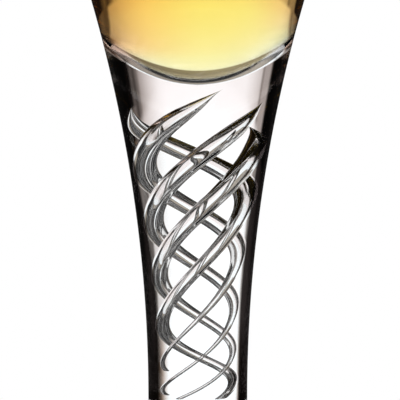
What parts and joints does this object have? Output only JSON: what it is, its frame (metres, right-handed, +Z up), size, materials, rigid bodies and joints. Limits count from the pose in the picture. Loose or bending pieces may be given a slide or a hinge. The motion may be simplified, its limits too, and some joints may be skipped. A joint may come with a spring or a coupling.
{
  "type": "whisky glass",
  "caption": "Trumpet-bowl whisky glass on a thick clear stem with a spiral air twist, standing on a round applied foot and holding a measure of whisky.",
  "frame": {"origin": "centre of the foot, on the surface that the glass stands on", "axes": "+Z up along the axis of the glass, -Y towards the viewer of the picture, +X to the viewer's right"},
  "size_m": [0.0632, 0.0632, 0.115],
  "materials": {
    "clear_glass": "fire polished",
    "trapped_air": "clear",
    "whisky": "clear liquid"
  },
  "bodies": {
    "root": {"foot": "clear_glass", "stem_casing": "clear_glass", "twist_core": "clear_glass", "air_thread_1": "trapped_air", "air_thread_2": "trapped_air", "air_thread_3": "trapped_air", "air_thread_4": "trapped_air", "bowl": "clear_glass", "whisky": "whisky"}
  },
  "joints": []
}
